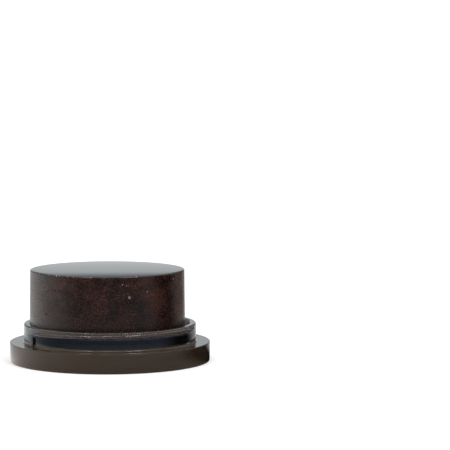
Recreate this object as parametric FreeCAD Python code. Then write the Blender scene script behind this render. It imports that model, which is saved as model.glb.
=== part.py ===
"""A cake of bowed-instrument rosin standing in the open base of its round twist-lock case.

Millimetres, +Z up. The origin is the centre of the foot: the case's axis is the Z axis and the
foot rests on the plane z = 0. Angles are measured from the front of the case, which is -Y, and
grow towards +X.
"""

import FreeCAD, Part
import math
import os

# The cast rosin
cake_diameter = 50.6  # at the top
cake_height = 21.2
cake_draft = 0.2  # how much larger the cake's radius is at its bottom
cake_edge_radius = 0.4
cake_offset = 0.8  # how far towards -X the cake was pressed down beside the case's axis

# The double-sided pad that holds the rosin down
pad_inset = 3.5  # from the cake's lower edge to the pad's side
pad_thickness = 0.5

# The cup that takes the rosin and carries the lid's thread
cake_side_gap = 0.1  # least gap between the cake and the recess wall
rim_wall = 2.0
rim_edge_radius = 0.45
neck_height = 6.1
foot_collar_width = 0.35  # how far the collar at the neck's foot stands out
foot_collar_land = 0.2  # height of the collar's upright side
foot_collar_slope = 0.7  # height of the slope above that side
recess_depth = 4.1
recess_floor_thickness = 1.6
shoulder_width = 2.4
spigot_wall = 1.6

# The twist-lock thread on the neck: equal ridges, each with a stop rib just past its low end
ridge_count = 2
ridge_sweep = 136.0
ridge_low_end_angle = -56.0
ridge_height = 1.5
ridge_depth = 0.6
ridge_flat = 0.65  # height of the ridge's outer band
ridge_under_slope = 0.35  # height over which the ridge's lower face leaves the neck
ridge_rim_gap = 0.45
ridge_drop = 1.05  # how far the low end lies below the level run
ridge_drop_power = 3.6
ridge_sections = 17
ridge_root = 0.3  # how deep the ridge and the rib run into the neck's wall
ridge_tip_share = 0.05  # share of the ridge over which each end fades in
ridge_tip_depth = 0.2  # share of the full depth that is left at each end
stop_gap_angle = 2.3
stop_width = 1.4
stop_depth = 0.6
stop_edge_radius = 0.2

# The wide grip ring with its flange
base_height = 6.4
flange_width = 4.35  # how far the flange stands out past the neck
flange_thickness = 1.8
flange_edge_radius = 0.2
skirt_wall = 2.4
skirt_draft = 0.15  # how much smaller the skirt's radius is at the foot
foot_edge_radius = 0.35

# The disc that closes the underside
plate_recess = 0.6
plate_thickness = 1.2

# Fits
spigot_clearance = 0.1
plate_clearance = 0.1

# Levels and radii that follow from the sizes above
rim_top = base_height + neck_height
recess_floor = rim_top - recess_depth
plate_top = plate_recess + plate_thickness
ridge_level = rim_top - ridge_rim_gap - ridge_height
ridge_low_end = ridge_level - ridge_drop
cake_top_radius = cake_diameter / 2
cake_bottom_radius = cake_top_radius + cake_draft
pad_radius = cake_bottom_radius - pad_inset
recess_radius = cake_bottom_radius + cake_offset + cake_side_gap
neck_radius = recess_radius + rim_wall
spigot_radius = neck_radius - shoulder_width
collar_radius = neck_radius + foot_collar_width
collar_top = base_height + foot_collar_land + foot_collar_slope
flange_radius = neck_radius + flange_width
foot_radius = flange_radius - skirt_draft
skirt_bore = foot_radius - skirt_wall
cake_centre = FreeCAD.Vector(-cake_offset, 0, 0)


def turned(outline):
    """A solid of revolution about Z from (radius, height) points."""
    corners = [FreeCAD.Vector(radius, 0, height) for radius, height in outline]
    face = Part.Face(Part.makePolygon(corners + corners[:1]))
    return face.revolve(FreeCAD.Vector(0, 0, 0), FreeCAD.Vector(0, 0, 1), 360)


def disc(radius, bottom, thickness):
    """A plain round disc on the Z axis."""
    return Part.makeCylinder(radius, thickness, FreeCAD.Vector(0, 0, bottom))


def round_edge(solid, radius, height, edge_radius):
    """Rounds the circular edge that lies at this radius and height."""
    near = 1e-4
    edges = []
    for edge in solid.Edges:
        if not isinstance(edge.Curve, Part.Circle):
            continue
        if abs(edge.Curve.Radius - radius) < near and abs(edge.Curve.Center.z - height) < near:
            edges.append(edge)
    return solid.makeFillet(edge_radius, edges)


def around(angle, radius, height):
    """The point at this angle from the front, radius from the axis and height."""
    turn = math.radians(angle)
    return FreeCAD.Vector(radius * math.sin(turn), -radius * math.cos(turn), height)


def ridge_fade(share):
    """How much of its full depth the ridge has at this share of its length."""
    from_end = min(share, 1 - share) / ridge_tip_share
    rise = math.sin(math.pi / 2 * min(from_end, 1.0))
    return ridge_tip_depth + (1 - ridge_tip_depth) * rise


def ridge_shares():
    """Where the ridge's sections stand: evenly spaced, with one more close to each end."""
    evenly = [step / (ridge_sections - 1) for step in range(ridge_sections)]
    near_ends = [ridge_tip_share / 3, 1 - ridge_tip_share / 3]
    return sorted(evenly + near_ends)


def ridge_outline(bottom, depth):
    """The ridge's section from the wall's inside out: each slope starts within the wall."""
    over_slope = ridge_height - ridge_under_slope - ridge_flat
    root = neck_radius - ridge_root
    crest = neck_radius + depth
    root_share = ridge_root / ridge_depth
    return [
        (root, bottom - ridge_under_slope * root_share),
        (crest, bottom + ridge_under_slope),
        (crest, bottom + ridge_under_slope + ridge_flat),
        (root, bottom + ridge_height + over_slope * root_share),
    ]


def thread_ridge(low_end_angle):
    """One ridge: a level run whose last part dips to its low end, where the lid draws tight."""
    sections = []
    for share in ridge_shares():
        angle = low_end_angle + share * ridge_sweep
        bottom = ridge_level - ridge_drop * (1 - share) ** ridge_drop_power
        outline = ridge_outline(bottom, ridge_depth * ridge_fade(share))
        corners = [around(angle, radius, height) for radius, height in outline]
        sections.append(Part.makePolygon(corners + corners[:1]))
    return Part.makeLoft(sections, True, False)


def stop_rib(angle):
    """The upright rib that stops the lid's lug, standing on the flange against the neck."""
    length = ridge_root + stop_depth
    start = FreeCAD.Vector(-stop_width / 2, -(neck_radius + stop_depth), base_height)
    rib = Part.makeBox(stop_width, length, ridge_low_end - base_height, start)
    outer = [edge for edge in rib.Edges if edge.BoundBox.YMax < start.y + stop_edge_radius]
    rib = rib.makeFillet(stop_edge_radius, outer)
    rib.rotate(FreeCAD.Vector(0, 0, 0), FreeCAD.Vector(0, 0, 1), angle)
    return rib


def rosin_cake():
    """The cast block, as it left its mould: flat on top, a little wider at the bottom."""
    bottom = recess_floor + pad_thickness
    top = bottom + cake_height
    cake = turned([(0, bottom), (cake_bottom_radius, bottom), (cake_top_radius, top), (0, top)])
    cake = round_edge(cake, cake_top_radius, top, cake_edge_radius)
    cake.translate(cake_centre)
    return cake


def adhesive_pad():
    """The foam disc between the recess floor and the cake."""
    pad = disc(pad_radius, recess_floor, pad_thickness)
    pad.translate(cake_centre)
    return pad


def threaded_cup():
    """The neck, its recess and floor, the spigot below and the thread outside."""
    floor_underside = recess_floor - recess_floor_thickness
    spigot_bore = spigot_radius - spigot_wall
    cup = turned([
        (0, floor_underside),
        (spigot_bore, floor_underside),
        (spigot_bore, plate_top),
        (spigot_radius, plate_top),
        (spigot_radius, base_height),
        (collar_radius, base_height),
        (collar_radius, base_height + foot_collar_land),
        (neck_radius, collar_top),
        (neck_radius, rim_top),
        (recess_radius, rim_top),
        (recess_radius, recess_floor),
        (0, recess_floor),
    ])
    cup = round_edge(cup, neck_radius, rim_top, rim_edge_radius)
    cup = round_edge(cup, recess_radius, rim_top, rim_edge_radius)
    for number in range(ridge_count):
        low_end_angle = ridge_low_end_angle + number * 360 / ridge_count
        cup = cup.fuse(thread_ridge(low_end_angle))
        cup = cup.fuse(stop_rib(low_end_angle - stop_gap_angle))
    return cup.removeSplitter()


def grip_base():
    """The skirt and flange in one moulding, with a hole for the cup's spigot."""
    flange_underside = base_height - flange_thickness
    flange_hole = spigot_radius + spigot_clearance
    base = turned([
        (skirt_bore, 0),
        (foot_radius, 0),
        (flange_radius, base_height),
        (flange_hole, base_height),
        (flange_hole, flange_underside),
        (skirt_bore, flange_underside),
    ])
    base = round_edge(base, foot_radius, 0, foot_edge_radius)
    return round_edge(base, flange_radius, base_height, flange_edge_radius)


def base_plate():
    """The disc pressed into the skirt from below and bonded to the spigot's end."""
    return disc(skirt_bore - plate_clearance, plate_recess, plate_thickness)


os.makedirs("parts", exist_ok=True)
for make_piece in (rosin_cake, adhesive_pad, threaded_cup, grip_base, base_plate):
    piece = make_piece()
    piece.exportStep("parts/" + make_piece.__name__ + ".step")
    print(make_piece.__name__, piece.isValid(), len(piece.Solids), round(piece.Volume, 1))
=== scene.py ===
import math
import random

import bpy
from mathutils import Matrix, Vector


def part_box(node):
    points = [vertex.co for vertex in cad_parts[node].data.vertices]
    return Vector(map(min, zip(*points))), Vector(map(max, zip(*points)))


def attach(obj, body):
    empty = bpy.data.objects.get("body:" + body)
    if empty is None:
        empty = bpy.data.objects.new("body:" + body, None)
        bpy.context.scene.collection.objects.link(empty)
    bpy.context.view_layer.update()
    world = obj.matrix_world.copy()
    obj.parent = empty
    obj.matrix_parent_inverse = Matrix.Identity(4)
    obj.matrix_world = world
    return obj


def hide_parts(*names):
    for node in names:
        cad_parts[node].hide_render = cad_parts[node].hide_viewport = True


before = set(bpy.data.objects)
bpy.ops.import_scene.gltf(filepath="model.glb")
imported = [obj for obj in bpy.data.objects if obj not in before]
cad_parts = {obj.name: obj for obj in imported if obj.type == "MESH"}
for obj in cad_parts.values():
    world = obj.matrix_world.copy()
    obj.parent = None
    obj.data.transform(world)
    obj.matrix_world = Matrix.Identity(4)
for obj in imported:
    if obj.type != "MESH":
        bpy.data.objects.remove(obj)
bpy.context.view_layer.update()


# Camera. A long lens from a low stand, with the object to the left of the middle.
camera_place = Vector((0.03765, -0.800, 0.115))
camera_tilt_down = math.radians(5.042)
camera_lens = 196.9

camera_data = bpy.data.cameras.new("camera")
camera_data.lens = camera_lens
camera_data.sensor_width = 36.0
camera = bpy.data.objects.new("camera", camera_data)
camera.location = camera_place
camera.rotation_euler = (math.pi / 2 - camera_tilt_down, 0, 0)
bpy.context.scene.collection.objects.link(camera)
bpy.context.scene.camera = camera
bpy.context.scene.view_settings.view_transform = "Standard"


# Studio. A pale table inside a white tent that is open towards the camera. Upright fronts mirror
# the dim room, sides and tops mirror white cloth, and a dark flag stands to the right. Near the
# object a gloss mirrors the lit table, and past that a ring of it that lies in cool shade.
tent_strength = 1.1
tent_white = (1.0, 1.0, 1.0)
room_dim = (0.085, 0.085, 0.10)
flag_black = (0.004, 0.004, 0.005)
warm_card = (0.16, 0.10, 0.05)
tent_turns = (
    (-180, (0.60, 0.64, 0.65)), (-150, (0.60, 0.62, 0.60)), (-130, (0.92, 0.88, 0.84)),
    (-104, (0.86, 0.83, 0.82)), (-76, (0.62, 0.58, 0.58)), (-61, (0.56, 0.52, 0.52)),
    (-57, room_dim), (55, room_dim), (60, (0.46, 0.42, 0.42)), (70, (0.44, 0.40, 0.40)),
    (78, flag_black), (125, flag_black), (130, (0.80, 0.80, 0.78)), (133, (0.80, 0.80, 0.78)),
    (135, warm_card), (158, warm_card), (170, (0.60, 0.64, 0.65)), (180, (0.60, 0.64, 0.65)),
)
tent_shoulder = (0.17, 0.22, 0.28)
tent_roof = (1.05, 0.90, 0.76)
tent_shoulder_heights = (0.130, 0.200)  # sines of the height angles where the walls end
tent_roof_heights = (0.35, 0.62)
table_size = 4.0
table_colour = (0.92, 0.92, 0.92)
table_glow = 0.15
table_turns = (
    (-180, (0.40, 0.44, 0.46)), (-148, (0.42, 0.47, 0.50)), (-130, (0.74, 0.77, 0.76)),
    (-104, (0.98, 0.94, 0.92)), (-86, (1.28, 1.18, 1.08)), (-72, (1.25, 1.10, 1.00)),
    (-43, (1.00, 0.84, 0.72)), (-20, (0.76, 0.61, 0.50)), (40, (0.62, 0.54, 0.46)),
    (60, (0.50, 0.43, 0.37)), (73, (0.20, 0.17, 0.12)), (84, flag_black), (112, flag_black),
    (128, (0.6, 0.6, 0.58)), (180, (0.9, 0.9, 0.9)),
)
shade_turns = (
    (-180, (0.80, 0.84, 0.84)), (-133, (1.05, 1.08, 1.08)), (-107, (0.62, 0.78, 0.86)),
    (-97, (0.40, 0.50, 0.58)),
    (-78, (0.24, 0.30, 0.40)), (-60, (0.18, 0.26, 0.35)), (60, (0.24, 0.31, 0.42)),
    (78, (0.12, 0.12, 0.15)), (88, flag_black), (112, flag_black), (128, (0.5, 0.5, 0.5)),
    (180, (0.80, 0.84, 0.84)),
)
lit_table_ends = (0.073, 0.080)  # distances from the middle of the object
shade_ends = (0.100, 0.112)
lamp_distance = 1.2
lamp_height = 0.25


def add_node(tree, kind, **settings):
    """A new shader node with its own settings, such as the operation of a Math node."""
    node = tree.nodes.new(kind)
    for key, value in settings.items():
        setattr(node, key, value)
    return node


def rgba(colour):
    """The colour with full alpha."""
    return (colour[0], colour[1], colour[2], 1.0)


def feed(tree, socket, source):
    """Links an output to the socket, or sets the socket to a colour or a number."""
    if isinstance(source, bpy.types.NodeSocket):
        tree.links.new(source, socket)
    elif isinstance(source, tuple) and len(source) == 3 and socket.type == "RGBA":
        socket.default_value = rgba(source)
    else:
        socket.default_value = source


def colour_mix(tree, factor, first, second, blend="MIX"):
    """A colour mix; the factor, first and second are each an output or a value."""
    mix = add_node(tree, "ShaderNodeMix", data_type="RGBA", blend_type=blend)
    feed(tree, mix.inputs[0], factor)
    feed(tree, mix.inputs[6], first)
    feed(tree, mix.inputs[7], second)
    return mix.outputs[2]


def calculate(tree, operation, first, second=0.0):
    """One step of arithmetic; first and second are each an output or a number."""
    node = add_node(tree, "ShaderNodeMath", operation=operation)
    feed(tree, node.inputs[0], first)
    feed(tree, node.inputs[1], second)
    return node.outputs[0]


def fade(tree, value, low, high, to_low=0.0, to_high=1.0):
    """A smooth step from one number to another as the input goes from low to high."""
    node = add_node(tree, "ShaderNodeMapRange", interpolation_type="SMOOTHSTEP")
    feed(tree, node.inputs["Value"], value)
    node.inputs["From Min"].default_value = low
    node.inputs["From Max"].default_value = high
    node.inputs["To Min"].default_value = to_low
    node.inputs["To Max"].default_value = to_high
    return node.outputs[0]


def colours_by_turn(tree, split, turns):
    """Colours set by the turn round the upright axis, from the camera's side towards +X."""
    forwards = calculate(tree, "MULTIPLY", split.outputs["Y"], -1.0)
    turn = calculate(tree, "ARCTAN2", split.outputs["X"], forwards)
    share = calculate(tree, "DIVIDE", calculate(tree, "ADD", turn, math.pi), 2 * math.pi)
    ramp = tree.nodes.new("ShaderNodeValToRGB")
    tree.links.new(share, ramp.inputs[0])
    stops = ramp.color_ramp.elements
    while len(stops) < len(turns):
        stops.new(0.5)
    for stop, (angle, colour) in zip(stops, turns):
        stop.position = (angle + 180) / 360
        stop.color = rgba(colour)
    return ramp.outputs["Color"]


def pitch_tent():
    """The world's light: plain white, with the tent's shape where a gloss mirrors it."""
    world = bpy.data.worlds.new("tent")
    world.use_nodes = True
    bpy.context.scene.world = world
    tree = world.node_tree
    tree.nodes.clear()
    direction = tree.nodes.new("ShaderNodeTexCoord")
    split = tree.nodes.new("ShaderNodeSeparateXYZ")
    tree.links.new(direction.outputs["Generated"], split.inputs[0])
    walls = colours_by_turn(tree, split, tent_turns)
    shoulder = fade(tree, split.outputs["Z"], *tent_shoulder_heights)
    roof = fade(tree, split.outputs["Z"], *tent_roof_heights)
    mirrored = colour_mix(tree, roof, colour_mix(tree, shoulder, walls, tent_shoulder), tent_roof)
    light_path = tree.nodes.new("ShaderNodeLightPath")
    glow = colour_mix(tree, light_path.outputs["Is Glossy Ray"], tent_white, mirrored)
    background = tree.nodes.new("ShaderNodeBackground")
    background.inputs["Strength"].default_value = tent_strength
    tree.links.new(glow, background.inputs["Color"])
    output = tree.nodes.new("ShaderNodeOutputWorld")
    tree.links.new(background.outputs[0], output.inputs["Surface"])


def lay_table():
    """The pale table; a gloss mirrors its lit part near the object, and the tent beyond that."""
    bpy.ops.object.select_all(action="DESELECT")
    bpy.ops.mesh.primitive_plane_add(size=table_size)
    table = bpy.context.object
    table.name = "table"
    material = bpy.data.materials.new("table_top")
    material.use_nodes = True
    tree = material.node_tree
    shader = tree.nodes["Principled BSDF"]
    shader.inputs["Base Color"].default_value = rgba(table_colour)
    shader.inputs["Roughness"].default_value = 0.9
    shader.inputs["Specular IOR Level"].default_value = 0.1
    shader.inputs["Emission Color"].default_value = rgba(tent_white)
    shader.inputs["Emission Strength"].default_value = table_glow
    place = tree.nodes.new("ShaderNodeTexCoord")
    split = tree.nodes.new("ShaderNodeSeparateXYZ")
    tree.links.new(place.outputs["Object"], split.inputs[0])
    distance = add_node(tree, "ShaderNodeVectorMath", operation="LENGTH")
    tree.links.new(place.outputs["Object"], distance.inputs[0])
    beyond = fade(tree, distance.outputs["Value"], *shade_ends)
    in_shade = fade(tree, distance.outputs["Value"], *lit_table_ends)
    # Glossy rays see the table as a glow: painted light in the ring near the object and painted cool
    # shade in the ring past it, both coloured by turn.
    lit = colours_by_turn(tree, split, table_turns)
    shaded = colours_by_turn(tree, split, shade_turns)
    lit_table = tree.nodes.new("ShaderNodeEmission")
    tree.links.new(colour_mix(tree, in_shade, lit, shaded), lit_table.inputs["Color"])
    see_through = tree.nodes.new("ShaderNodeBsdfTransparent")
    mirrored = tree.nodes.new("ShaderNodeMixShader")
    tree.links.new(beyond, mirrored.inputs["Fac"])
    tree.links.new(lit_table.outputs[0], mirrored.inputs[1])
    tree.links.new(see_through.outputs[0], mirrored.inputs[2])
    light_path = tree.nodes.new("ShaderNodeLightPath")
    surface = tree.nodes.new("ShaderNodeMixShader")
    tree.links.new(light_path.outputs["Is Glossy Ray"], surface.inputs["Fac"])
    tree.links.new(shader.outputs[0], surface.inputs[1])
    tree.links.new(mirrored.outputs[0], surface.inputs[2])
    tree.links.new(surface.outputs[0], tree.nodes["Material Output"].inputs["Surface"])
    table.data.materials.append(material)


def hang_lamp(name, turn, height_angle, width_angle, power):
    """A small soft lamp out in the room; its turn is from the camera's side towards +X."""
    turn = math.radians(turn)
    height_angle = math.radians(height_angle)
    flat = lamp_distance * math.cos(height_angle)
    height = lamp_distance * math.sin(height_angle)
    place = Vector((flat * math.sin(turn), -flat * math.cos(turn), height))
    data = bpy.data.lights.new(name, "AREA")
    data.shape = "RECTANGLE"
    data.size = 2 * lamp_distance * math.tan(math.radians(width_angle) / 2)
    data.size_y = lamp_height
    data.energy = power
    lamp = bpy.data.objects.new(name, data)
    lamp.location = place
    lamp.rotation_euler = (-place).to_track_quat("-Z", "Y").to_euler()
    bpy.context.scene.collection.objects.link(lamp)


pitch_tent()
lay_table()
hang_lamp("lamp_left", -32.0, 38.0, 13.0, 1.6)
hang_lamp("lamp_right", 37.0, 38.0, 20.0, 2.6)
hang_lamp("lamp_middle", -3.0, 45.0, 8.0, 0.6)


# Threaded cup. The inner moulding of the case base, in smoke-brown polystyrene: a neck with a
# shallow recess for the rosin, a spigot below, and on the outside two thread ridges with a stop
# rib past each, which draw the lid down when it is turned to the right.
cup_low, cup_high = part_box("threaded_cup")
base_low, base_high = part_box("grip_base")
pad_low, pad_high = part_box("adhesive_pad")
ridge_depth = 0.0006
neck_radius = cup_high.x - ridge_depth
rim_top = cup_high.z
recess_floor = pad_low.z
flange_top = base_high.z
rim_wall = 0.0020
rim_edge_radius = 0.00045
recess_radius = neck_radius - rim_wall
recess_corner_radius = 0.0004
shoulder_width = 0.0024
spigot_wall = 0.0016
spigot_radius = neck_radius - shoulder_width
spigot_bore = spigot_radius - spigot_wall
collar_width = 0.00035
collar_land = 0.0001
collar_rise = 0.0008
collar_steps = 6
collar_top = flange_top + collar_land + collar_rise
recess_floor_thickness = 0.0016
recess_floor_underside = recess_floor - recess_floor_thickness
ridge_height = 0.0015
ridge_rim_gap = 0.00045
ridge_level = rim_top - ridge_rim_gap - ridge_height / 2
ridge_drop = 0.00105
ridge_drop_power = 3.6
ridge_low_end_angle = -56.0
ridge_sweep = 136.0
ridge_steps = 102
ridge_tip_steps = 7
ridge_tip_size = 0.08
ridge_points = 20
stop_angle = ridge_low_end_angle - 2.3
stop_width = 0.0014
stop_depth = 0.0006
stop_root = 0.0003
stop_edge_radius = 0.00018
stop_top = ridge_level - ridge_height / 2 - ridge_drop
turn_points = 288
smooth_angle = math.radians(32)


def start_turning(name, radius, height, points=turn_points):
    """Begins a turned piece as one ring of points round the case's axis, in edit mode."""
    bpy.ops.object.select_all(action="DESELECT")
    bpy.ops.mesh.primitive_circle_add(vertices=points, radius=radius, enter_editmode=True)
    piece = bpy.context.object
    piece.name = name
    bpy.ops.mesh.select_mode(type="VERT")
    bpy.ops.mesh.select_all(action="SELECT")
    bpy.ops.transform.translate(value=(0, 0, height))
    return piece


def turn_outline(outline, closed=False):
    """Extrudes the selected ring along (radius, height) points; the first is the ring itself."""
    for (radius, height), (next_radius, next_height) in zip(outline, outline[1:]):
        bpy.ops.mesh.extrude_region_move()
        scale = next_radius / radius
        bpy.ops.transform.resize(value=(scale, scale, 1))
        bpy.ops.transform.translate(value=(0, 0, next_height - height))
    if closed:
        bpy.ops.mesh.select_all(action="SELECT")
        bpy.ops.mesh.remove_doubles(threshold=1e-6)


def close_to_axis():
    """Fans the selected ring in to a point on the axis."""
    bpy.ops.mesh.extrude_region_move()
    bpy.ops.mesh.merge(type="COLLAPSE")


def select_points(piece, wanted):
    """Selects the points that pass the test, with the edges and faces between them."""
    bpy.ops.mesh.select_mode(type="VERT")
    bpy.ops.mesh.select_all(action="DESELECT")
    bpy.ops.object.mode_set(mode="OBJECT")
    for point in piece.data.vertices:
        point.select = wanted(point.co)
    bpy.ops.object.mode_set(mode="EDIT")


def round_ring(piece, radius, height, edge_radius, segments=6):
    """Rounds the turned edge at this radius and height."""
    near = 1e-5
    select_points(
        piece, lambda co: abs(co.xy.length - radius) < near and abs(co.z - height) < near
    )
    bpy.ops.mesh.select_mode(type="EDGE")
    bpy.ops.mesh.bevel(offset=edge_radius, segments=segments, affect="EDGES", clamp_overlap=False)
    bpy.ops.mesh.select_mode(type="VERT")


def finish_piece(piece, angle=smooth_angle):
    """Leaves edit mode with the faces outwards and all but the sharp edges smooth."""
    bpy.ops.mesh.select_all(action="SELECT")
    bpy.ops.mesh.normals_make_consistent(inside=False)
    bpy.ops.object.mode_set(mode="OBJECT")
    bpy.ops.object.shade_smooth_by_angle(angle=angle)


def choose(piece):
    """Selects this piece alone and makes it the active one."""
    bpy.ops.object.select_all(action="DESELECT")
    piece.select_set(True)
    bpy.context.view_layer.objects.active = piece


def mould_with(piece, other, operation="UNION"):
    """Joins the other body to the piece, or cuts it away, and removes it."""
    choose(piece)
    modifier = piece.modifiers.new("moulded", "BOOLEAN")
    modifier.operation = operation
    modifier.solver = "EXACT"
    modifier.material_mode = "TRANSFER" if other.data.materials else "INDEX"
    modifier.object = other
    bpy.ops.object.modifier_apply(modifier=modifier.name)
    bpy.data.objects.remove(other)


def turn_cup():
    """The cup's body of revolution, with its rim, foot collar and inner corner rounded."""
    outline = [
        (spigot_bore, recess_floor_underside),
        (spigot_bore, cup_low.z),
        (spigot_radius, cup_low.z),
        (spigot_radius, flange_top),
        (neck_radius + collar_width, flange_top),
    ]
    for step in range(collar_steps + 1):
        turn = math.pi / 2 * step / collar_steps
        radius = neck_radius + collar_width * (1 - math.sin(turn))
        outline.append((radius, flange_top + collar_land + collar_rise * (1 - math.cos(turn))))
    outline += [
        (neck_radius, rim_top),
        (recess_radius, rim_top),
        (recess_radius, recess_floor),
        (recess_radius * 0.5, recess_floor),
    ]
    cup = start_turning("cup_moulding", *outline[0])
    turn_outline(outline)
    close_to_axis()
    select_points(
        cup,
        lambda co: abs(co.xy.length - spigot_bore) < 1e-5
        and abs(co.z - recess_floor_underside) < 1e-5,
    )
    close_to_axis()
    round_ring(cup, neck_radius, rim_top, rim_edge_radius)
    round_ring(cup, recess_radius, rim_top, rim_edge_radius)
    round_ring(cup, recess_radius, recess_floor, recess_corner_radius, segments=4)
    finish_piece(cup)
    return cup


def turn_selection(degrees):
    """Turns the selection about the case's axis, counter-clockwise from above."""
    bpy.ops.transform.rotate(
        value=-math.radians(degrees), orient_axis="Z", center_override=(0, 0, 0)
    )


def ridge_fade(step):
    """The ridge's size at this step, from nothing at either tip to full."""
    from_tip = min(step, ridge_steps - step) / ridge_tip_steps
    return math.sqrt(max(1 - (1 - min(from_tip, 1.0)) ** 2, 0.0))


def ridge_middle(step):
    """The height of the ridge's middle at this step from the low end."""
    return ridge_level - ridge_drop * (1 - step / ridge_steps) ** ridge_drop_power


def extrude_ridge():
    """One ridge: a rounded bead carried round the neck, a little lower at its low end."""
    bpy.ops.object.select_all(action="DESELECT")
    bpy.ops.mesh.primitive_circle_add(
        vertices=ridge_points, radius=ridge_depth, fill_type="NGON", enter_editmode=True
    )
    ridge = bpy.context.object
    ridge.name = "ridge"
    bpy.ops.mesh.select_all(action="SELECT")
    bpy.ops.transform.rotate(value=math.pi / 2, orient_axis="Y", center_override=(0, 0, 0))
    bpy.ops.transform.resize(value=(1, 1, ridge_height / 2 / ridge_depth))
    bpy.ops.transform.resize(value=(1, ridge_tip_size, ridge_tip_size))
    bpy.ops.transform.translate(value=(0, -neck_radius, ridge_middle(0)))
    turn_selection(ridge_low_end_angle)
    size = ridge_tip_size
    for step in range(1, ridge_steps + 1):
        next_size = max(ridge_fade(step), ridge_tip_size)
        scale = next_size / size
        bpy.ops.mesh.extrude_region_move()
        turn_selection(ridge_sweep / ridge_steps)
        angle = math.radians(ridge_low_end_angle + ridge_sweep * step / ridge_steps)
        centre = (
            neck_radius * math.sin(angle), -neck_radius * math.cos(angle), ridge_middle(step - 1),
        )
        bpy.ops.transform.resize(value=(scale, scale, scale), center_override=centre)
        bpy.ops.transform.translate(value=(0, 0, ridge_middle(step) - ridge_middle(step - 1)))
        size = next_size
    finish_piece(ridge)
    return ridge


def shape_stop():
    """One stop rib: a small upright block with a rounded outer face."""
    bpy.ops.object.select_all(action="DESELECT")
    bpy.ops.mesh.primitive_cube_add(size=1, enter_editmode=True)
    stop = bpy.context.object
    stop.name = "stop"
    bpy.ops.mesh.select_all(action="SELECT")
    bpy.ops.transform.resize(value=(stop_width, stop_depth + stop_root, stop_top - flange_top))
    middle = (0, -(neck_radius + (stop_depth - stop_root) / 2), (stop_top + flange_top) / 2)
    bpy.ops.transform.translate(value=middle)
    select_points(stop, lambda co: co.y < -neck_radius)
    bpy.ops.mesh.select_mode(type="EDGE")
    bpy.ops.mesh.bevel(offset=stop_edge_radius, segments=3, affect="EDGES")
    bpy.ops.mesh.select_all(action="SELECT")
    turn_selection(stop_angle)
    finish_piece(stop)
    return stop


def half_turn_copy(piece):
    """The same body half a turn further round, with its own mesh."""
    choose(piece)
    bpy.ops.object.duplicate()
    copy = bpy.context.object
    bpy.ops.object.mode_set(mode="EDIT")
    bpy.ops.mesh.select_all(action="SELECT")
    turn_selection(180)
    bpy.ops.object.mode_set(mode="OBJECT")
    return copy


def even_shading(piece):
    """Smooth shading in which the broad faces keep their own direction beside rounded edges."""
    choose(piece)
    bpy.ops.object.shade_smooth_by_angle(angle=smooth_angle)
    modifier = piece.modifiers.new("even", "WEIGHTED_NORMAL")
    modifier.keep_sharp = True
    bpy.ops.object.modifier_apply(modifier=modifier.name)


def new_material(name):
    """A material with its node tree and its Principled shader."""
    material = bpy.data.materials.new(name)
    material.use_nodes = True
    return material, material.node_tree, material.node_tree.nodes["Principled BSDF"]


def noise(tree, vector, scale, detail=3.0, roughness=0.55):
    """The value of a noise texture at this many waves to the metre."""
    node = tree.nodes.new("ShaderNodeTexNoise")
    tree.links.new(vector, node.inputs["Vector"])
    node.inputs["Scale"].default_value = scale
    node.inputs["Detail"].default_value = detail
    node.inputs["Roughness"].default_value = roughness
    return node.outputs["Fac"]


def stretched(tree, vector, scale):
    """Object coordinates scaled by a different amount along each axis."""
    node = add_node(tree, "ShaderNodeVectorMath", operation="MULTIPLY")
    tree.links.new(vector, node.inputs[0])
    node.inputs[1].default_value = scale
    return node.outputs[0]


def make_wear():
    """Shared: hairline rub marks that run round a piece, and powder lying on what faces up."""
    group = bpy.data.node_groups.new("wear", "ShaderNodeTree")
    for output_name in ("Rubs", "Powder"):
        group.interface.new_socket(output_name, in_out="OUTPUT", socket_type="NodeSocketFloat")
    place = group.nodes.new("ShaderNodeTexCoord").outputs["Object"]
    hairs = noise(group, stretched(group, place, (1.0, 1.0, 22.0)), 260.0, 5.0, 0.7)
    patches = noise(group, place, 85.0, 2.0)
    rubbed = calculate(
        group, "MULTIPLY", fade(group, hairs, 0.52, 0.72), fade(group, patches, 0.42, 0.66)
    )
    grains = group.nodes.new("ShaderNodeTexVoronoi")
    grains.inputs["Scale"].default_value = 2600.0
    group.links.new(place, grains.inputs["Vector"])
    speck = fade(group, grains.outputs["Distance"], 0.20, 0.10)
    drifts = fade(group, noise(group, place, 210.0, 4.0, 0.6), 0.50, 0.68)
    facing = group.nodes.new("ShaderNodeSeparateXYZ")
    group.links.new(group.nodes.new("ShaderNodeNewGeometry").outputs["Normal"], facing.inputs[0])
    upward = fade(group, facing.outputs["Z"], 0.75, 0.95)
    powder = calculate(group, "MULTIPLY", calculate(group, "MULTIPLY", speck, drifts), upward)
    result = group.nodes.new("NodeGroupOutput")
    group.links.new(rubbed, result.inputs["Rubs"])
    group.links.new(powder, result.inputs["Powder"])
    return group


def add_wear(tree):
    """The wear group's outputs, Rubs and Powder, for one material."""
    return add_node(tree, "ShaderNodeGroup", node_tree=wear).outputs


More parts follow.
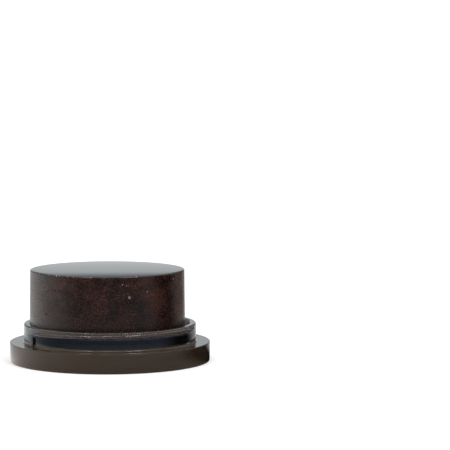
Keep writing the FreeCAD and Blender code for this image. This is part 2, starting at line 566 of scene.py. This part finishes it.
def smoke_plastic(name, band_colours, low_step, high_step, transmission):
    """Smoke polystyrene; its colour steps upwards at a low and at a high height, which on the cup
    paint bands of light and shade on the neck.
    """
    material, tree, shader = new_material(name)
    place = tree.nodes.new("ShaderNodeTexCoord").outputs["Object"]
    split = tree.nodes.new("ShaderNodeSeparateXYZ")
    tree.links.new(place, split.inputs[0])
    # Colours stepped by height: on the cup these are painted bands of light and shade on the neck.
    body = colour_mix(tree, fade(tree, split.outputs["Z"], *low_step), band_colours[0], band_colours[1])
    body = colour_mix(tree, fade(tree, split.outputs["Z"], *high_step), body, band_colours[2])
    flow = noise(tree, stretched(tree, place, (1.0, 1.0, 5.0)), 120.0, 4.0)
    swirled = colour_mix(tree, fade(tree, flow, 0.35, 0.70, 0.0, 0.45), body, flow_tint, "MULTIPLY")
    marks = add_wear(tree)
    dusty = calculate(tree, "MULTIPLY", marks["Powder"], 0.5)
    feed(tree, shader.inputs["Base Color"], colour_mix(tree, dusty, swirled, powder_colour))
    rubs = calculate(tree, "MULTIPLY", marks["Rubs"], 0.10)
    rough = calculate(tree, "ADD", calculate(tree, "ADD", rubs, dusty), moulded_roughness)
    feed(tree, shader.inputs["Roughness"], rough)
    shader.inputs["IOR"].default_value = 1.5
    shader.inputs["Transmission Weight"].default_value = transmission
    ripple = noise(tree, place, 70.0, 1.0)
    bump = tree.nodes.new("ShaderNodeBump")
    bump.inputs["Strength"].default_value = 0.3
    bump.inputs["Distance"].default_value = 0.00006
    feed(tree, bump.inputs["Height"], ripple)
    tree.links.new(bump.outputs[0], shader.inputs["Normal"])
    return material


flow_tint = (0.60, 0.50, 0.44)
powder_colour = (0.62, 0.58, 0.50)
moulded_roughness = 0.035
# The cup's colours are painted light and shade on the neck: a light brown painted highlight on the
# foot collar, a near black bluish painted shade from the collar up to the ridges, and a lighter taupe
# band of painted light from the ridges up to the rim.
cup_painted_band_colours = ((0.300, 0.215, 0.150), (0.012, 0.015, 0.020), (0.235, 0.198, 0.195))
cup_low_step = (collar_top - 0.00025, collar_top + 0.00005)
cup_high_step = (rim_top - 0.00275, rim_top - 0.00185)
cup_transmission = 0.85

cup = turn_cup()
for made in (extrude_ridge(), shape_stop()):
    mould_with(cup, half_turn_copy(made))
    mould_with(cup, made)
even_shading(cup)
wear = make_wear()
cup.data.materials.append(
    smoke_plastic("smoke_cup", cup_painted_band_colours, cup_low_step, cup_high_step, cup_transmission)
)
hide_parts("threaded_cup")
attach(cup, "root")


# Grip base. The outer moulding of the case base, in the same smoke-brown polystyrene: a flange
# that the cup's spigot is pressed through, and a plain skirt that stands on the table and is
# held while the lid is turned.
flange_radius = base_high.x
foot_draft = 0.00014
foot_radius = flange_radius - foot_draft
flange_edge_radius = 0.0002
foot_edge_radius = 0.00035
foot_inner_radius = 0.0002
skirt_inset = 0.00255
skirt_bore = flange_radius - skirt_inset
skirt_corner_radius = 0.0005
flange_thickness = 0.0018
flange_underside = flange_top - flange_thickness
flange_hole_clearance = 0.00002
flange_hole_radius = spigot_radius + flange_hole_clearance
# The base and plate colours are darker towards the foot and lighter towards the flange top.
base_colours_by_height = ((0.022, 0.015, 0.010), (0.030, 0.021, 0.014), (0.038, 0.027, 0.019))
base_low_step = (0.0, 0.0035)
base_high_step = (flange_top - 0.0019, flange_top)
base_transmission = 0.5


def turn_base():
    """The flange and skirt in one closed ring, with rounded outer edges."""
    outline = [
        (flange_hole_radius, flange_top),
        (flange_radius, flange_top),
        (foot_radius, base_low.z),
        (skirt_bore, base_low.z),
        (skirt_bore, flange_underside),
        (flange_hole_radius, flange_underside),
        (flange_hole_radius, flange_top),
    ]
    base = start_turning("base_moulding", *outline[0])
    turn_outline(outline, closed=True)
    round_ring(base, flange_radius, flange_top, flange_edge_radius)
    round_ring(base, foot_radius, base_low.z, foot_edge_radius, segments=8)
    round_ring(base, skirt_bore, base_low.z, foot_inner_radius, segments=2)
    round_ring(base, skirt_bore, flange_underside, skirt_corner_radius, segments=3)
    finish_piece(base)
    return base


base = turn_base()
even_shading(base)
base.data.materials.append(
    smoke_plastic("smoke_base", base_colours_by_height, base_low_step, base_high_step, base_transmission)
)
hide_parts("grip_base")
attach(base, "root")


# Bottom plate. A flat moulded disc of the same plastic, pressed into the skirt against the end
# of the spigot to close the case from below, with the marks of its gate and ejector pins.
plate_low, plate_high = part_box("base_plate")
plate_radius = plate_high.x
plate_edge_radius = 0.00025
gate_mark_radius = 0.0018
gate_nib_radius = 0.0006
gate_nib_tip_radius = 0.00036
gate_mark_depth = 0.00025
pin_mark_radius = 0.0022
pin_mark_depth = 0.00008
pin_mark_count = 3
pin_mark_place = 0.021
plate_transmission = 0.7


def turn_plate():
    """The plate's disc with the sunk gate mark and its nib in the middle of the underside."""
    sunk = plate_low.z + gate_mark_depth
    outline = [
        (gate_nib_tip_radius, plate_low.z + 0.00005),
        (gate_nib_radius, plate_low.z + 0.0001),
        (gate_nib_radius, sunk),
        (gate_mark_radius, sunk),
        (gate_mark_radius, plate_low.z),
        (plate_radius, plate_low.z),
        (plate_radius, plate_high.z),
        (plate_radius * 0.4, plate_high.z),
    ]
    plate = start_turning("bottom_plate", *outline[0], points=192)
    turn_outline(outline)
    close_to_axis()
    select_points(
        plate,
        lambda co: abs(co.xy.length - gate_nib_tip_radius) < 1e-5 and co.z < sunk,
    )
    close_to_axis()
    round_ring(plate, plate_radius, plate_low.z, plate_edge_radius, segments=3)
    round_ring(plate, plate_radius, plate_high.z, plate_edge_radius, segments=3)
    finish_piece(plate)
    return plate


def pin_mark(number):
    """A short plug at one ejector pin's place, to be sunk into the underside."""
    angle = 2 * math.pi * (number + 0.5) / pin_mark_count
    centre = (pin_mark_place * math.cos(angle), pin_mark_place * math.sin(angle))
    bpy.ops.object.select_all(action="DESELECT")
    bpy.ops.mesh.primitive_cylinder_add(
        vertices=48, radius=pin_mark_radius, depth=2 * pin_mark_depth, enter_editmode=True
    )
    plug = bpy.context.object
    bpy.ops.mesh.select_all(action="SELECT")
    bpy.ops.transform.translate(value=(centre[0], centre[1], plate_low.z))
    finish_piece(plug)
    return plug


plate = turn_plate()
for number in range(pin_mark_count):
    mould_with(plate, pin_mark(number), "DIFFERENCE")
even_shading(plate)
plate.data.materials.append(
    smoke_plastic("smoke_plate", base_colours_by_height, base_low_step, base_high_step, plate_transmission)
)
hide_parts("base_plate")
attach(plate, "root")


# Foam pad. A disc of thin pale foam tape, punched out and stuck between the recess floor and the
# rosin; its cut cells show at the edge, which bulges a little under the rosin.
pad_radius = (pad_high.y - pad_low.y) / 2
pad_centre_x = (pad_low.x + pad_high.x) / 2
pad_bulge = 0.00012
pad_rings = 3
foam_pale = (0.66, 0.64, 0.58)
foam_shade_and_dark_tone = (0.40, 0.38, 0.33)
foam_cell = 1700.0


def move_sideways(piece, distance):
    """Moves a piece's points along X and leaves its origin on the case's axis."""
    choose(piece)
    bpy.ops.object.mode_set(mode="EDIT")
    bpy.ops.mesh.select_all(action="SELECT")
    bpy.ops.transform.translate(value=(distance, 0, 0))
    bpy.ops.object.mode_set(mode="OBJECT")


def turn_pad():
    """The pad's disc, its edge bulging in the middle of its thickness."""
    pad_middle = (pad_low.z + pad_high.z) / 2
    outline = [(pad_radius * 0.5, pad_low.z), (pad_radius - pad_bulge, pad_low.z)]
    for ring in range(1, 2 * pad_rings):
        share = ring / pad_rings - 1
        radius = pad_radius - pad_bulge * share * share
        outline.append((radius, pad_middle + share * (pad_high.z - pad_middle)))
    outline.append((pad_radius - pad_bulge, pad_high.z))
    outline.append((pad_radius * 0.5, pad_high.z))
    pad = start_turning("foam_pad", *outline[0], points=192)
    turn_outline(outline)
    close_to_axis()
    select_points(
        pad, lambda co: abs(co.xy.length - pad_radius * 0.5) < 1e-5 and abs(co.z - pad_low.z) < 1e-5
    )
    close_to_axis()
    finish_piece(pad, math.radians(50))
    move_sideways(pad, pad_centre_x)
    return pad


def cut_foam():
    """Pale polyethylene foam with the hollows of its cut cells painted darker as shade, and clouded at
    random towards a darker tone.
    """
    material, tree, shader = new_material("foam_tape")
    place = tree.nodes.new("ShaderNodeTexCoord").outputs["Object"]
    cells = tree.nodes.new("ShaderNodeTexVoronoi")
    cells.inputs["Scale"].default_value = foam_cell
    tree.links.new(place, cells.inputs["Vector"])
    wall = fade(tree, cells.outputs["Distance"], 0.15, 0.65)
    clouded = colour_mix(tree, fade(tree, noise(tree, place, 150.0), 0.3, 0.7), foam_pale, foam_shade_and_dark_tone)
    # The cell hollows get the darker colour as painted shade; the walls keep the clouded pale tone.
    feed(tree, shader.inputs["Base Color"], colour_mix(tree, wall, foam_shade_and_dark_tone, clouded))
    feed(tree, shader.inputs["Roughness"], fade(tree, wall, 0.0, 1.0, 0.95, 0.75))
    bump = tree.nodes.new("ShaderNodeBump")
    bump.inputs["Strength"].default_value = 0.8
    bump.inputs["Distance"].default_value = 0.0002
    feed(tree, bump.inputs["Height"], wall)
    tree.links.new(bump.outputs[0], shader.inputs["Normal"])
    return material


pad = turn_pad()
pad.data.materials.append(cut_foam())
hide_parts("adhesive_pad")
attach(pad, "root")


# Rosin cake. Dark red-brown rosin for the bow, cast in a drafted mould and stuck down off centre: the
# poured top is mirror smooth and falls a little towards its edge, the side keeps the mould's fine
# grain, with small burst bubbles, pits and edge chips.
cake_low, cake_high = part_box("rosin_cake")
cake_centre_x = (cake_low.x + cake_high.x) / 2
cake_side_clearance = 0.00003
cake_draft = 0.0002
cake_foot_radius = (cake_high.y - cake_low.y) / 2 - cake_side_clearance
cake_top_radius = cake_foot_radius - cake_draft
cake_edge_radius = 0.0004
edge_steps = 5
cake_side_rings = 54
cake_top_rings = 22
cake_points = 512
top_fall = 0.00008
top_fall_power = 2.2
grain_waves = ((0.0045, 0.00006), (0.0011, 0.00003))  # the length and the height of each
bubble_spots = (  # the angle from the front in degrees, the height and the radius of each
    (18.8, 0.0234, 0.00048), (13.8, 0.0276, 0.00020), (16.8, 0.0272, 0.00016),
    (32.8, 0.0250, 0.00018), (60.0, 0.0282, 0.00026), (73.0, 0.0262, 0.00030),
)
pit_spots = (
    (-38.0, 0.0252, 0.00026), (-34.5, 0.0251, 0.00022), (-41.0, 0.0253, 0.00018),
    (-48.0, 0.0172, 0.00032), (-51.0, 0.0182, 0.00018), (-33.5, 0.0150, 0.00016),
    (-55.0, 0.0232, 0.00015), (-44.0, 0.0142, 0.00016), (-52.5, 0.0136, 0.00014),
)
more_bubbles = 44
hollow_sink = 0.25  # how far a hollow's middle lies below the side, as a share of its radius
edge_chips = 18
chip_corner = 0.3  # how far in from the edge's corner a chip starts, as a share of the rounding
rosin_seed = 41
rosin_dark = (0.0030, 0.0010, 0.0008)
rosin_red = (0.0215, 0.0062, 0.0034)
rosin_amber = (0.0700, 0.0330, 0.0190)
# Broken rosin colours: the pale of fresh fracture on the chips, and in the burst bubbles a painted
# glint that makes them read as bright dots.
broken_deep = (0.10, 0.070, 0.055)
broken_pale_and_glint = (0.34, 0.30, 0.27)
# Pit colours are painted shade: near black, and with little reflection, so the pits read dark.
pit_shade_deep = (0.0010, 0.0004, 0.0004)
pit_shade_pale = (0.0060, 0.0030, 0.0025)


def turn_cake():
    """The cast cake as one turned body with rings close enough to carry the grain."""
    edge = cake_edge_radius
    side_low = cake_low.z + edge
    side_high = cake_high.z - top_fall - edge
    outline = [(cake_foot_radius * 0.5, cake_low.z)]
    for step in range(edge_steps):
        turn = math.pi / 2 * step / edge_steps
        radius = cake_foot_radius - edge * (1 - math.sin(turn))
        outline.append((radius, side_low - edge * math.cos(turn)))
    for ring in range(cake_side_rings + 1):
        share = ring / cake_side_rings
        radius = cake_foot_radius + (cake_top_radius - cake_foot_radius) * share
        outline.append((radius, side_low + (side_high - side_low) * share))
    for step in range(1, edge_steps + 1):
        turn = math.pi / 2 * step / edge_steps
        radius = cake_top_radius - edge * (1 - math.cos(turn))
        outline.append((radius, side_high + edge * math.sin(turn)))
    flat_radius = cake_top_radius - edge
    for ring in range(1, cake_top_rings):
        share = 1 - ring / cake_top_rings
        height = side_high + edge + top_fall * (1 - share ** top_fall_power)
        outline.append((flat_radius * share, height))
    cake = start_turning("rosin_block", *outline[0], points=cake_points)
    turn_outline(outline)
    close_to_axis()
    select_points(
        cake,
        lambda co: abs(co.xy.length - cake_foot_radius * 0.5) < 1e-5 and co.z < cake_low.z + 1e-5,
    )
    close_to_axis()
    finish_piece(cake)
    return cake


def roughen_side(cake):
    """Presses the mould's uneven surface into the cake's side."""
    side = cake.vertex_groups.new(name="cast_side")
    wanted = [
        point.index for point in cake.data.vertices
        if point.co.xy.length > cake_top_radius - 0.0001
        and point.co.z < cake_high.z - 0.0006
    ]
    side.add(wanted, 1.0, "REPLACE")
    choose(cake)
    for wave_length, height in grain_waves:
        grain = bpy.data.textures.new("grain", "CLOUDS")
        grain.noise_scale = wave_length
        grain.noise_depth = 2
        modifier = cake.modifiers.new("grain", "DISPLACE")
        modifier.texture = grain
        modifier.texture_coords = "LOCAL"
        modifier.vertex_group = side.name
        modifier.strength = height
        modifier.mid_level = 1.0
        bpy.ops.object.modifier_apply(modifier=modifier.name)


def ball(place, radius, skin):
    """A small ball to be sunk into the cake; its skin is left on the hollow."""
    bpy.ops.object.select_all(action="DESELECT")
    bpy.ops.mesh.primitive_ico_sphere_add(subdivisions=3, radius=radius, enter_editmode=True)
    made = bpy.context.object
    bpy.ops.mesh.select_all(action="SELECT")
    bpy.ops.transform.translate(value=place)
    bpy.ops.object.mode_set(mode="OBJECT")
    made.data.materials.append(skin)
    return made


def spot_on_side(angle, height, outwards):
    """A place on the cake's side; the angle is from the front towards +X, in degrees."""
    share = (height - cake_low.z) / (cake_high.z - cake_low.z)
    radius = cake_foot_radius - cake_draft * share + outwards
    turn = math.radians(angle)
    return (radius * math.sin(turn), -radius * math.cos(turn), height)


def blemishes(shaded_pits, broken_and_glint):
    """The side's bubbles and pits and the chips of the top edge, as balls to cut away."""
    chance = random.Random(rosin_seed)
    wanted = []
    for spots, skin in ((bubble_spots, broken_and_glint), (pit_spots, shaded_pits)):
        for angle, height, size in spots:
            wanted.append((spot_on_side(angle, height, -hollow_sink * size), size, skin))
    for _ in range(more_bubbles):
        angle = chance.uniform(75, 305)
        height = chance.uniform(cake_low.z + 0.006, cake_high.z - 0.0018)
        size = chance.choice((0.00012, 0.00016, 0.00020, 0.00030))
        skin = chance.choice((shaded_pits, broken_and_glint))
        wanted.append((spot_on_side(angle, height, -hollow_sink * size), size, skin))
    inset = chip_corner * cake_edge_radius
    corner = cake_high.z - top_fall - inset
    for number in range(edge_chips):
        angle = chance.uniform(-66, -12) if number < edge_chips // 2 else chance.uniform(0, 360)
        size = chance.uniform(0.0003, 0.0006)
        reach = 0.7 * size - chance.uniform(0.00001, 0.00006)
        place = spot_on_side(angle, corner, reach - inset)
        wanted.append(((place[0], place[1], place[2] + reach), size, broken_and_glint))
    kept = []
    for place, size, skin in wanted:
        gaps = [
            (Vector(place) - Vector(other)).length - size - taken for other, taken, _ in kept
        ]
        if not gaps or min(gaps) > 0.00002:
            kept.append((place, size, skin))
    return [ball(*spot) for spot in kept]


def cast_rosin():
    """Dark rosin: clouded red-brown with fine grain on the side, clean and glossy on top."""
    material, tree, shader = new_material("dark_rosin")
    place = tree.nodes.new("ShaderNodeTexCoord").outputs["Object"]
    split = tree.nodes.new("ShaderNodeSeparateXYZ")
    tree.links.new(place, split.inputs[0])
    on_side = fade(tree, split.outputs["Z"], cake_high.z - 0.0002, cake_high.z - 0.0007)
    clouds = noise(tree, stretched(tree, place, (1.0, 1.0, 1.6)), 130.0, 5.0, 0.62)
    mottle = noise(tree, stretched(tree, place, (1.0, 1.0, 1.4)), 1000.0, 5.0, 0.75)
    warmth = calculate(tree, "MULTIPLY", clouds, 0.5)
    warmth = calculate(tree, "ADD", warmth, calculate(tree, "MULTIPLY", mottle, 0.5))
    # The red clouds and amber flecks fade towards the foot, so the side is darker towards the bottom.
    lifted = fade(tree, split.outputs["Z"], cake_low.z, cake_low.z + 0.015, 0.25, 1.0)
    glow_share = calculate(tree, "MULTIPLY", fade(tree, warmth, 0.40, 0.60), lifted)
    body = colour_mix(tree, glow_share, rosin_dark, rosin_red)
    speckle = noise(tree, stretched(tree, place, (1.0, 1.0, 1.5)), 1800.0, 2.0, 0.8)
    flecks = calculate(tree, "MULTIPLY", fade(tree, speckle, 0.52, 0.66), lifted)
    patches = fade(tree, clouds, 0.42, 0.60, 0.25, 1.0)
    flecked = calculate(tree, "MULTIPLY", calculate(tree, "MULTIPLY", flecks, on_side), patches)
    flecked = calculate(tree, "MULTIPLY", flecked, 0.55)
    marks = add_wear(tree)
    clean = colour_mix(tree, flecked, body, rosin_amber)
    dusty = calculate(tree, "MULTIPLY", marks["Powder"], 0.25)
    feed(tree, shader.inputs["Base Color"], colour_mix(tree, dusty, clean, powder_colour))
    prick = noise(tree, stretched(tree, place, (1.0, 1.0, 0.8)), 2600.0, 1.0, 0.5)
    grain_shine = fade(tree, prick, 0.54, 0.66, 0.06, 0.50)
    side_rough = calculate(tree, "ADD", grain_shine, calculate(tree, "MULTIPLY", marks["Rubs"], 0.08))
    top_rough = calculate(tree, "ADD", calculate(tree, "MULTIPLY", marks["Rubs"], 0.03), 0.045)
    top_rough = calculate(tree, "ADD", top_rough, dusty)
    roughness = add_node(tree, "ShaderNodeMix", data_type="FLOAT")
    feed(tree, roughness.inputs[0], on_side)
    feed(tree, roughness.inputs[2], top_rough)
    feed(tree, roughness.inputs[3], side_rough)
    feed(tree, shader.inputs["Roughness"], roughness.outputs[0])
    shader.inputs["IOR"].default_value = 1.54
    fine = calculate(tree, "ADD", speckle, calculate(tree, "MULTIPLY", mottle, 1.2))
    share = calculate(tree, "DIVIDE", side_distance(tree, place), cake_top_radius)
    fall = calculate(tree, "POWER", share, top_fall_power)
    side_bump = add_node(tree, "ShaderNodeBump")
    side_bump.inputs["Distance"].default_value = 0.00007
    feed(tree, side_bump.inputs["Strength"], on_side)
    feed(tree, side_bump.inputs["Height"], fine)
    top_bump = add_node(tree, "ShaderNodeBump", invert=True)
    top_bump.inputs["Distance"].default_value = 0.00046
    feed(tree, top_bump.inputs["Strength"], calculate(tree, "SUBTRACT", 1.0, on_side))
    feed(tree, top_bump.inputs["Height"], fall)
    tree.links.new(side_bump.outputs[0], top_bump.inputs["Normal"])
    tree.links.new(top_bump.outputs[0], shader.inputs["Normal"])
    return material


def side_distance(tree, place):
    """How far a point is from the cake's own upright axis."""
    moved = add_node(tree, "ShaderNodeVectorMath", operation="SUBTRACT")
    tree.links.new(place, moved.inputs[0])
    moved.inputs[1].default_value = (cake_centre_x, 0, 0)
    length = add_node(tree, "ShaderNodeVectorMath", operation="LENGTH")
    tree.links.new(stretched(tree, moved.outputs[0], (1.0, 1.0, 0.0)), length.inputs[0])
    return length.outputs["Value"]


def hollow_rosin(name, deep, pale, shine):
    """The crumbly face of rosin in a burst bubble, a pit or a chip of the edge; in the pits it is
    painted near black as shade, and in the bubbles pale as a painted glint, which on the chips is the
    pale of fresh fracture.
    """
    material, tree, shader = new_material(name)
    place = tree.nodes.new("ShaderNodeTexCoord").outputs["Object"]
    crumbs = fade(tree, noise(tree, place, 5200.0, 3.0, 0.7), 0.35, 0.65)
    feed(tree, shader.inputs["Base Color"], colour_mix(tree, crumbs, deep, pale))
    feed(tree, shader.inputs["Roughness"], fade(tree, crumbs, 0.0, 1.0, 0.12, 0.35))
    shader.inputs["IOR"].default_value = 1.54
    shader.inputs["Specular IOR Level"].default_value = shine
    return material


cake = turn_cake()
roughen_side(cake)
rosin = cast_rosin()
cake.data.materials.append(rosin)
# The pits' skin is painted shade: near black with a weak reflection.
shaded_pits = hollow_rosin("pit_shade_rosin", pit_shade_deep, pit_shade_pale, 0.1)
# The skin of the chips and bubbles: fracture colour, and in the bubbles a painted glint.
broken_and_glint = hollow_rosin("broken_and_glint_rosin", broken_deep, broken_pale_and_glint, 0.5)
balls = blemishes(shaded_pits, broken_and_glint)
bpy.ops.object.select_all(action="DESELECT")
for made in balls:
    made.select_set(True)
bpy.context.view_layer.objects.active = balls[0]
bpy.ops.object.join()
mould_with(cake, balls[0], "DIFFERENCE")
choose(cake)
bpy.ops.object.shade_smooth_by_angle(angle=smooth_angle)
move_sideways(cake, cake_centre_x)
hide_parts("rosin_cake")
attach(cake, "root")
